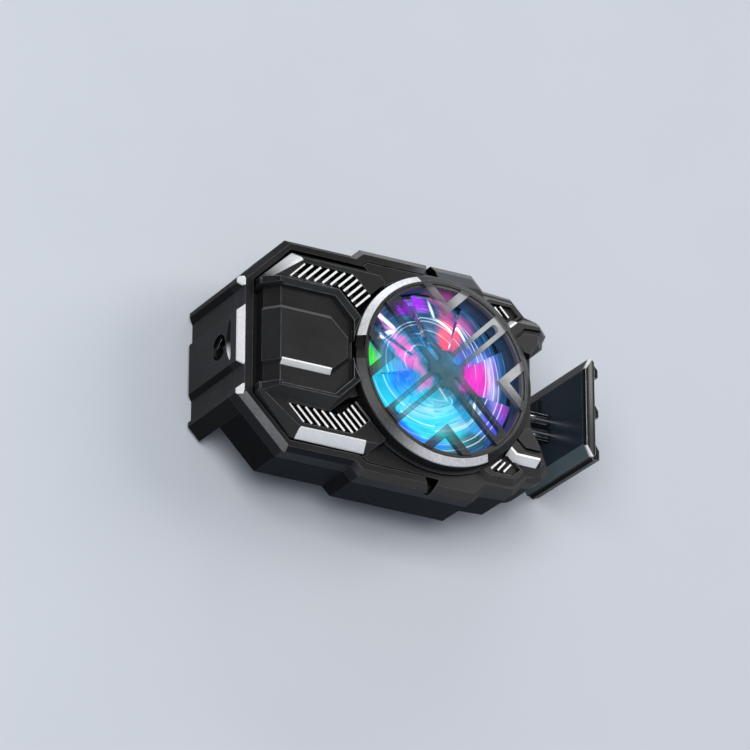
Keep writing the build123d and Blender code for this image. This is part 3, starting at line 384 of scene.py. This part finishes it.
def glow(g, smear=0.5, fade=1.0):
    flat = g.stretch(g.pos, 1000.0, 1000.0, 0.0)             # millimetres
    x = g.xyz(flat)
    r = g.vec("LENGTH", flat, out=1)
    ang = g.math("ARCTAN2", x[1], x[0])
    cx, sx = g.math("COSINE", ang), g.math("SINE", ang)

    def ringed(k, q, scale=1.0, detail=3.0, rough=0.6):
        at = g.node("ShaderNodeCombineXYZ", {0: g.math("MULTIPLY", cx, k), 1: g.math("MULTIPLY", sx, k), 2: g.math("MULTIPLY", r, q)}).outputs[0]
        return g.noise(at, scale, detail, rough)

    wide = ringed(1.1, 0.42, 1.0, 3.0, 0.55)
    fine = ringed(1.6, 2.4, 1.0, 4.0, 0.65)
    at = g.node("ShaderNodeVectorRotate", {"Vector": flat, "Angle": g.math("MULTIPLY", g.math("SUBTRACT", wide, 0.5), smear)}, rotation_type="Z_AXIS").outputs[0]
    wob = g.node("ShaderNodeTexNoise", {"Vector": flat, "Scale": 0.22, "Detail": 2.0}).outputs[1]
    at = g.vec("ADD", at, g.vec("SCALE", g.vec("SUBTRACT", wob, (0.5, 0.5, 0.5)), 3.2))

    def spot(c, place, soft):
        m = g.node("ShaderNodeMapping", {"Vector": place, "Location": (c[0], c[1], 0), "Rotation": (0, 0, math.radians(c[4])), "Scale": (c[2], c[3], 1)}, vector_type="TEXTURE").outputs[0]
        m = g.vec("MULTIPLY", m, (1, 1, 0))
        return g.span(g.vec("LENGTH", m, out=1), soft, 1.25, 1.0, 0.0)

    col = (0.010, 0.080, 0.200)
    for cx_, cy_, rx, ry, turn, rgb, amount, soft in PATCHES:
        col = g.mix(g.math("MULTIPLY", spot((cx_, cy_, rx, ry, turn), at, soft), amount), col, rgb)
    # pink ribbon of painted light running from the upper left towards the hub
    for c, rgb, amount in (((-6.0, 3.4, 6.6, 1.6, -52), (0.90, 0.20, 0.66), 0.95), ((-2.6, -2.2, 2.6, 1.2, 38), (0.86, 0.24, 0.80), 0.9), ((-9.6, 7.4, 2.6, 1.3, -50), (0.80, 0.30, 0.86), 0.8)):
        col = g.mix(g.math("MULTIPLY", spot(c, at, 0.3), amount), col, rgb)
    # milky veils of painted light
    for c, amount in (((-2.5, -7.0, 6.5, 2.4, 12), 0.42), ((4.5, -9.2, 3.5, 1.6, 20), 0.38), ((12.6, 3.0, 1.1, 6.0, 22), 0.55), ((-12.6, 2.6, 1.6, 3.4, 0), 0.25), ((9.4, -4.9, 3.4, 1.0, -10), 0.35)):
        k = g.math("MULTIPLY", spot(c, at, 0.1), g.span(fine, 0.32, 0.62, 0.35, 1.0))
        col = g.mix(g.math("MULTIPLY", k, amount), col, (0.72, 0.90, 1.0))
    # thin circles of painted light
    line = None
    for cx_, cy_, r0, w, a0, a1, power in (
            (0.2, 0.4, 11.2, 0.10, 40, 330, 0.45), (-0.6, 0.8, 12.4, 0.09, -60, 70, 0.60), (0.6, -0.4, 13.3, 0.09, -70, 60, 0.55),
            (0.3, 0.3, 12.0, 0.09, 60, 150, 0.55), (0.0, 0.0, 9.6, 0.10, 20, 110, 0.40), (0.8, -0.6, 14.2, 0.12, -80, 30, 0.50),
            (-1.4, 1.6, 5.2, 0.12, 30, 190, 0.45), (-0.22, 3.27, 9.26, 0.26, 44, 80, 1.00), (0.4, -0.8, 10.2, 0.08, -140, -20, 0.32), (0.0, -0.6, 13.0, 0.08, -170, -60, 0.25)):
        rel = g.vec("SUBTRACT", flat, (cx_, cy_, 0))
        rl = g.vec("LENGTH", rel, out=1)
        y = g.xyz(rel)
        mid, half = math.radians((a0 + a1) / 2), math.radians((a1 - a0) / 2)
        c = g.math("ADD", g.math("MULTIPLY", y[0], math.cos(mid)), g.math("MULTIPLY", y[1], math.sin(mid)))
        gate = g.span(g.math("DIVIDE", c, g.math("MAXIMUM", rl, 0.1)), math.cos(min(half + 0.3, math.pi)), math.cos(max(half - 0.2, 0.02)))
        d = g.span(g.math("ABSOLUTE", g.math("SUBTRACT", rl, r0)), w * 0.4, w * 1.9, 1.0, 0.0)
        a = g.math("MULTIPLY", g.math("MULTIPLY", d, gate), power)
        line = a if line is None else g.math("MAXIMUM", line, a)
    # painted white glints along the blade edges
    for c, power in (((-11.4, 9.6, 3.4, 0.7, -30), 1.0), ((-10.6, 7.0, 2.2, 0.5, 28), 0.9), ((8.9, -4.6, 0.34, 2.2, 0), 0.9), ((-0.65, 14.2, 0.45, 2.3, 25), 0.8), ((4.4, -6.0, 0.25, 3.0, 42), 0.5), ((0.9, -3.4, 0.3, 2.2, 38), 0.5)):
        line = g.math("MAXIMUM", line, g.math("MULTIPLY", spot(c, flat, 0.45), power))
    col = g.mix(g.span(fine, 0.52, 0.76, 0.0, 0.26), col, (0.50, 0.85, 1.0))
    col = g.mix(g.span(fine, 0.46, 0.26, 0.0, 0.45), col, (0.004, 0.020, 0.090))
    col = g.mix(g.math("MULTIPLY", line, 0.9), col, (0.82, 0.97, 1.0))
    hub = g.span(r, 3.8, 6.4, 1.0, 0.0)
    col = g.mix(g.math("MULTIPLY", hub, 0.30), col, (0.015, 0.110, 0.170))
    power = g.math("MULTIPLY", g.span(wide, 0.28, 0.62, 0.50, 0.86), fade)
    power = g.math("ADD", power, g.math("MULTIPLY", line, 0.45 * fade))
    return col, power, fine, wide


# painted highlights on the bezel's cone: bright arcs, one end bright, fading round to dark satin, with painted shade as
# a black gap between them on the left
def arc_material(base):
    g = Mat("bezel_arc" if base == "arc" else "bezel_plastic")
    x = g.xyz()
    ang = g.math("ARCTAN2", x[1], x[0])
    left = g.span(x[0], -0.0170, -0.0176)
    gap = g.math("MULTIPLY", left, g.math("MULTIPLY", g.math("GREATER_THAN", x[1], -0.00157), g.math("LESS_THAN", x[1], 0.00330)))
    n = g.noise(g.stretch(g.pos, 1500.0, 1500.0, 900.0), 1.0, 4.0, 0.6)
    fine = g.noise(g.pos, 4200.0, 3.0, 0.7)
    mixed = g.math("ADD", g.math("MULTIPLY", n, 0.5), g.math("MULTIPLY", fine, 0.5))
    glow_col, glow_power, _, _ = glow(g, fade=0.42)
    if base == "arc":
        first = g.math("GREATER_THAN", x[1], 0.0020)
        low = g.span(g.math("MULTIPLY", ang, -1.0), 2.55, 1.62, 0.0, 1.0)
        k = g.math("MAXIMUM", first, g.math("MULTIPLY", low, low))
        dark = g.mix(g.span(mixed, 0.38, 0.62), (0.026, 0.026, 0.027), (0.060, 0.060, 0.062))
        light = g.mix(g.span(mixed, 0.38, 0.62), (0.74, 0.74, 0.75), (0.94, 0.94, 0.95))
        col = g.mix(k, dark, light)
        # painted highlight along the arcs' edges
        col = g.mix(g.math("MULTIPLY", g.edges(0.00014), 0.5), col, g.mix(k, (0.16, 0.16, 0.165), (0.95, 0.95, 0.96)))
        col = g.mix(gap, col, (0.0025, 0.0025, 0.003))
        g.set(Base_Color=col, Metallic=g.math("MULTIPLY", k, 0.35), Roughness=g.span(n, 0.3, 0.7, 0.32, 0.44, False), Normal=g.bump(fine, 0.06, 0.00003))
        g.b.inputs["Specular IOR Level"].default_value = 0.3
    else:
        # painted light: the bezel is paler towards the upper right, and so are its painted edge highlights
        side = g.span(g.math("ADD", g.math("MULTIPLY", x[0], 0.8), g.math("MULTIPLY", x[1], 0.6)), -0.006, 0.016)
        dark = g.mix(g.span(mixed, 0.38, 0.62), (0.007, 0.007, 0.0075), (0.016, 0.016, 0.0165))
        light = g.mix(g.span(mixed, 0.38, 0.62), (0.030, 0.030, 0.030), (0.052, 0.051, 0.050))
        col = g.mix(side, dark, light)
        col = g.mix(g.math("MULTIPLY", g.edges(0.00018), 0.85), col, g.mix(side, (0.09, 0.09, 0.092), (0.40, 0.41, 0.42)))
        col = g.mix(gap, col, (0.0025, 0.0025, 0.003))
        g.set(Base_Color=col, Roughness=g.span(mixed, 0.35, 0.65, 0.28, 0.42, False), Normal=g.bump(fine, 0.10, 0.00004))
        # the bezel's bore glows with the same painted light as the rotor
        r = g.vec("LENGTH", g.stretch(g.pos, 1.0, 1.0, 0.0), out=1)
        bore = g.math("MULTIPLY", g.span(r, 0.01788, 0.01794, 1.0, 0.0), g.span(x[2], 0.0135, 0.0178, 1.0, 0.0))
        g.set(Emission_Color=glow_col, Emission_Strength=g.math("MULTIPLY", glow_power, bore))
        g.b.inputs["Specular IOR Level"].default_value = 0.3
    return g.m


M["arc"] = arc_material("arc")
M["bezel_plastic"] = arc_material("bezel")


# corner trim: painted highlight, bright at its upper end, fading down the slope
def corner_material():
    g = Mat("corner_trim")
    x = g.xyz()
    k = g.span(g.math("ADD", x[0], x[1]), -0.0262, -0.0155, 0.0, 1.0, False)
    n = g.noise(g.stretch(g.pos, 2200.0, 2200.0, 900.0), 1.0, 3.0, 0.6)
    dark = g.mix(n, (0.040, 0.040, 0.041), (0.060, 0.060, 0.062))
    light = g.mix(n, (0.80, 0.80, 0.81), (0.94, 0.94, 0.95))
    g.set(Base_Color=g.mix(k, dark, light), Metallic=0.3, Roughness=g.span(n, 0.3, 0.7, 0.30, 0.42, False), Normal=g.bump(n, 0.05, 0.00003))
    return g.m


M["corner"] = corner_material()


# guard: smoky translucent bars, denser on the side away from the fixed jaw, where painted light makes them paler;
# painted highlights on the edges
def guard_material():
    g = Mat("guard_plastic")
    x = g.xyz()
    r = g.vec("LENGTH", g.stretch(g.pos, 1.0, 1.0, 0.0), out=1)
    fine = g.noise(g.pos, 5200.0, 2.0, 0.6)
    cloud = g.noise(g.pos, 260.0, 3.0, 0.6)
    side = g.span(g.math("ADD", g.math("MULTIPLY", x[0], 0.80), g.math("MULTIPLY", x[1], 0.60)), 0.0035, 0.0120)
    side = g.math("MULTIPLY", side, g.span(x[1], -0.0040, -0.0005, 0.30, 1.0))
    right = g.span(g.math("ADD", g.math("MULTIPLY", x[0], 0.95), g.math("MULTIPLY", x[1], -0.30)), -0.002, 0.009)
    rim = g.span(r, 0.0168, 0.0173)
    ends = g.span(r, 0.0120, 0.0165)
    side = g.math("MULTIPLY", side, g.math("SUBTRACT", 1.0, g.math("MULTIPLY", rim, 0.85)))
    col = g.mix(side, (0.014, 0.015, 0.016), (0.42, 0.425, 0.43))
    col = g.mix(g.span(cloud, 0.35, 0.65), col, g.mix(side, (0.022, 0.024, 0.026), (0.54, 0.545, 0.55)))
    # painted teal glow near the middle, with emission set below
    mid = g.span(r, 0.0035, 0.0110, 1.0, 0.0)
    col = g.mix(g.math("MULTIPLY", mid, 0.8), col, (0.040, 0.090, 0.100))
    e = g.edges(0.00018)
    col = g.mix(g.math("MULTIPLY", e, 0.6), col, g.mix(side, (0.09, 0.11, 0.12), (0.55, 0.56, 0.57)))
    g.set(Base_Color=col, Roughness=g.span(fine, 0.3, 0.7, 0.22, 0.36, False), Normal=g.bump(fine, 0.06, 0.00003))
    g.b.inputs["Specular IOR Level"].default_value = 0.3
    dense = g.math("MAXIMUM", g.math("MAXIMUM", g.math("MULTIPLY", side, 0.86), g.math("MULTIPLY", right, 0.72)), g.math("MULTIPLY", ends, 0.66))
    dense = g.math("MAXIMUM", dense, g.span(mid, 0.0, 1.0, 0.30, 0.48))
    dense = g.math("MAXIMUM", dense, g.math("MULTIPLY", e, 0.7))
    g.set(Alpha=g.math("MAXIMUM", dense, rim))
    g.set(Emission_Color=(0.03, 0.30, 0.36), Emission_Strength=g.math("MULTIPLY", mid, 0.14))
    return g.m


M["guard_plastic"] = guard_material()


# the rotor glows with the painted light pattern of glow(), which also tints its base colour
def rotor_material():
    g = Mat("rotor_plastic")
    col, power, fine, _ = glow(g)
    g.set(Base_Color=g.mix(0.5, col, (0.02, 0.04, 0.08)), Roughness=g.span(fine, 0.3, 0.7, 0.20, 0.34, False), Normal=g.bump(fine, 0.04, 0.00003))
    g.set(Emission_Color=col, Emission_Strength=power)
    return g.m


M["rotor_plastic"] = rotor_material()


def light_guide():
    g = Mat("light_guide")
    col, power, fine, _ = glow(g, fade=0.8)
    n = g.noise(g.pos, 900.0, 3.0)
    g.set(Base_Color=g.mix(n, (0.35, 0.45, 0.55), (0.5, 0.6, 0.7)), Roughness=g.span(n, 0.3, 0.7, 0.3, 0.5, False))
    g.set(Emission_Color=col, Emission_Strength=power)
    return g.m


M["light_guide"] = light_guide()


# the board under the rotor and the housing's floor take some of the light
def lit_board():
    g = Mat("lit_board")
    col, power, fine, _ = glow(g, fade=0.8)
    n = g.noise(g.pos, 260.0, 2.0, 0.4)
    tracks = g.node("ShaderNodeTexVoronoi", {"Vector": g.pos, "Scale": 620.0}, feature="DISTANCE_TO_EDGE").outputs[0]
    line = g.span(tracks, 0.04, 0.09, 1.0, 0.0)
    g.set(Base_Color=g.mix(g.math("MULTIPLY", line, 0.6), g.mix(n, (0.010, 0.055, 0.030), (0.016, 0.085, 0.045)), (0.03, 0.16, 0.08)))
    g.set(Roughness=g.span(n, 0.3, 0.7, 0.34, 0.42, False), Normal=g.bump(line, 0.3, 0.00004))
    g.set(Emission_Color=col, Emission_Strength=power)
    return g.m


def lit_housing():
    g = Mat("lit_housing")
    cloud = g.noise(g.pos, 70.0, 3.0, 0.55)
    fine = g.noise(g.pos, 5200.0, 2.0, 0.6)
    speck = g.noise(g.pos, 1920.0, 3.0, 0.7)
    col = g.mix(g.span(cloud, 0.35, 0.65), (0.0045, 0.0052, 0.0068), (0.008, 0.009, 0.0115))
    col = g.mix(g.math("MULTIPLY", g.span(speck, 0.48, 0.72), 0.35), col, (0.0136, 0.0153, 0.0195))
    # painted edge highlights, then painted shade deep in grooves
    e = g.math("MULTIPLY", g.edges(), g.span(g.noise(g.pos, 420.0, 4.0, 0.6), 0.30, 0.62, 0.45, 1.0))
    col = g.mix(g.math("MULTIPLY", e, 0.6), col, (0.050, 0.053, 0.060))
    col = g.mix(g.openness(), (0.0006, 0.0006, 0.0007), col)
    x = g.xyz()
    ny = normal_axis(g, 1)
    # painted shade and a navy painted reflection on the faces that point down
    col = g.mix(g.math("MULTIPLY", g.span(ny, -0.25, -0.45), 0.8), col, g.mix(g.span(ny, -0.80, -0.95), (0.0006, 0.0012, 0.0020), (0.0008, 0.0048, 0.0105)))
    r = g.vec("LENGTH", g.stretch(g.pos, 1.0, 1.0, 0.0), out=1)
    far = g.math("ADD", r, g.span(x[0], 0.0020, -0.0040, 0.0, 0.0065))
    inside = g.math("MULTIPLY", g.math("MULTIPLY", g.span(far, 0.0225, 0.0240, 1.0, 0.0), g.math("GREATER_THAN", x[2], 0.00195)), g.span(normal_axis(g, 2), 0.5, 0.8))
    inside = g.math("MULTIPLY", inside, g.span(x[0], 0.0175, 0.0145))
    tint = g.mix(g.span(x[0], -0.012, 0.010), (0.08, 0.35, 0.75), (0.35, 0.12, 0.65))
    g.set(Base_Color=col, Roughness=g.span(fine, 0.3, 0.7, 0.44, 0.60, False), Normal=g.bump(fine, 0.10, 0.00004))
    g.b.inputs["Specular IOR Level"].default_value = 0.05
    g.set(Emission_Color=tint, Emission_Strength=g.math("MULTIPLY", inside, g.span(cloud, 0.3, 0.7, 0.30, 0.50)))
    return g.m


# the heatsink glows low inside the duct with the same painted light, and has painted edge highlights
def lit_sink():
    g = Mat("lit_heatsink")
    col, power, fine, _ = glow(g, fade=0.8)
    brush = g.noise(g.stretch(g.pos, 500.0, 7000.0, 500.0), 1.0, 3.0, 0.6)
    cloud = g.noise(g.pos, 160.0, 3.0, 0.5)
    base = g.mix(g.span(g.math("ADD", g.math("MULTIPLY", brush, 0.55), g.math("MULTIPLY", cloud, 0.45)), 0.35, 0.65), (0.50, 0.51, 0.53), (0.66, 0.67, 0.69))
    g.set(Base_Color=g.mix(g.math("MULTIPLY", g.edges(0.00015), 0.6), base, (0.95, 0.95, 0.97)), Metallic=1.0)
    g.set(Roughness=g.span(brush, 0.3, 0.7, 0.30, 0.44, False), Normal=g.bump(brush, 0.05, 0.00003))
    r = g.vec("LENGTH", g.stretch(g.pos, 1.0, 1.0, 0.0), out=1)
    inside = g.math("MULTIPLY", g.span(r, 0.0150, 0.0165, 1.0, 0.0), g.span(g.xyz()[2], 0.0035, 0.0075, 0.45, 1.0))
    g.set(Emission_Color=col, Emission_Strength=g.math("MULTIPLY", power, inside))
    return g.m


M["lit_sink"] = lit_sink()
M["lit_board"] = lit_board()
M["lit_housing"] = lit_housing()


# duct of the fan frame: dark plastic that takes the same light low down
def duct_material():
    g = Mat("fan_duct")
    col, power, fine, _ = glow(g, fade=0.75)
    r = g.vec("LENGTH", g.stretch(g.pos, 1.0, 1.0, 0.0), out=1)
    z = g.xyz()[2]
    inside = g.math("MULTIPLY", g.span(r, 0.0170, 0.0176, 1.0, 0.0), g.span(z, 0.0096, 0.0128, 1.0, 0.75))
    n = g.noise(g.pos, 5200.0, 2.0, 0.6)
    g.set(Base_Color=g.mix(n, (0.010, 0.010, 0.011), (0.018, 0.018, 0.019)), Roughness=g.span(n, 0.3, 0.7, 0.35, 0.5, False), Normal=g.bump(n, 0.08, 0.00004))
    g.b.inputs["Specular IOR Level"].default_value = 0.28
    g.set(Emission_Color=col, Emission_Strength=g.math("MULTIPLY", power, inside))
    return g.m


M["duct"] = duct_material()


# ------------------------------------------------------------------ finish every CAD node
own = {"upper_grille": "grille", "lower_grille": "grille", "bezel_arcs": "arc", "corner_trim": "corner", "fan_frame": "duct", "fixed_jaw": "banded", "hexagon_plate": "plate", "shoulder_slats": "grille", "led_board": "lit_board", "heatsink": "lit_sink", "rear_housing": "lit_housing"}
slots = {s["node"]: s["material_slot"] for s in frame["record"]["subparts"]}
for name, o in nodes.items():
    o.data.materials.clear()
    o.data.materials.append(M[own.get(name, slots[name])])
    for p in o.data.polygons:
        p.material_index = 0


# ------------------------------------------------------------------ return springs, wound wire
def spring(name, y, z, x0, x1, turns, coil_r, wire_r):
    c = bpy.data.curves.new(name, "CURVE")
    c.dimensions = "3D"
    c.bevel_depth = wire_r
    c.bevel_resolution = 2
    s = c.splines.new("POLY")
    per = 14
    pts = [(x0 - 0.0008, y, z)]
    for i in range(turns * per + 1):
        a = 2 * math.pi * i / per
        pts.append((x0 + (x1 - x0) * i / (turns * per), y + coil_r * math.cos(a), z + coil_r * math.sin(a)))
    pts.append((x1 + 0.0002, y, z))
    s.points.add(len(pts) - 1)
    for p, q in zip(s.points, pts):
        p.co = (*q, 1.0)
    o = bpy.data.objects.new(name + "_curve", c)
    me = bpy.data.meshes.new_from_object(o)
    bpy.data.objects.remove(o)
    piece = bpy.data.objects.new(name, me)
    bpy.context.scene.collection.objects.link(piece)
    me.materials.clear()
    me.materials.append(M["spring_steel"])
    for p in me.polygons:
        p.use_smooth = True
        p.material_index = 0
    return piece


springs = []
for tag, y in (("upper", 9.8), ("lower", -9.8)):
    sp = spring(tag + "_return_spring", y * MM, 3.5 * MM, -15.0 * MM, 12.3 * MM, 30, 0.95 * MM, 0.2 * MM)
    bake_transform(sp)
    springs.append(sp)
for sp in springs:
    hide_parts("return_springs")


# ------------------------------------------------------------------ stage
def floor():
    me = bpy.data.meshes.new("floor")
    h = 3.0
    z = -0.0075
    me.from_pydata([(-h, -h, z), (h, -h, z), (h, h, z), (-h, h, z)], [], [(0, 1, 2, 3)])
    o = bpy.data.objects.new("floor", me)
    bpy.context.scene.collection.objects.link(o)
    g = Mat("floor")
    n = g.noise(g.pos, 30.0, 3.0)
    g.set(Base_Color=g.mix(n, (0.60, 0.63, 0.68), (0.64, 0.67, 0.72)), Roughness=g.span(n, 0.3, 0.7, 0.6, 0.7, False))
    me.materials.append(g.m)


floor()


def area(name, place, aim, size, watts, colour=(1, 1, 1)):
    l = bpy.data.lights.new(name, "AREA")
    l.shape = "RECTANGLE"
    l.size, l.size_y = size
    l.energy = watts
    l.color = colour
    o = bpy.data.objects.new(name, l)
    o.location = place
    o.rotation_euler = (Vector(aim) - Vector(place)).to_track_quat("-Z", "Y").to_euler()
    bpy.context.scene.collection.objects.link(o)


area("key", (-0.50, -0.05, 0.95), (0, 0, 0), (0.7, 0.7), 8.2)
area("right", (0.75, 0.35, 0.70), (0, 0, 0), (0.5, 0.8), 3.6, (1.0, 0.97, 0.93))
area("top", (0.15, 0.95, 0.35), (0, 0, 0), (0.9, 0.25), 2.6, (0.92, 0.96, 1.0))
area("below", (0.2, -0.9, 0.25), (0, 0, 0), (0.9, 0.3), 0.9, (0.82, 0.90, 1.0))
world = bpy.data.worlds.new("world")
bpy.context.scene.world = world
world.use_nodes = True
bg = world.node_tree.nodes["Background"]
bg.inputs[0].default_value = (0.70, 0.78, 0.92, 1.0)
bg.inputs[1].default_value = 0.22
bpy.context.scene.view_settings.view_transform = "Standard"
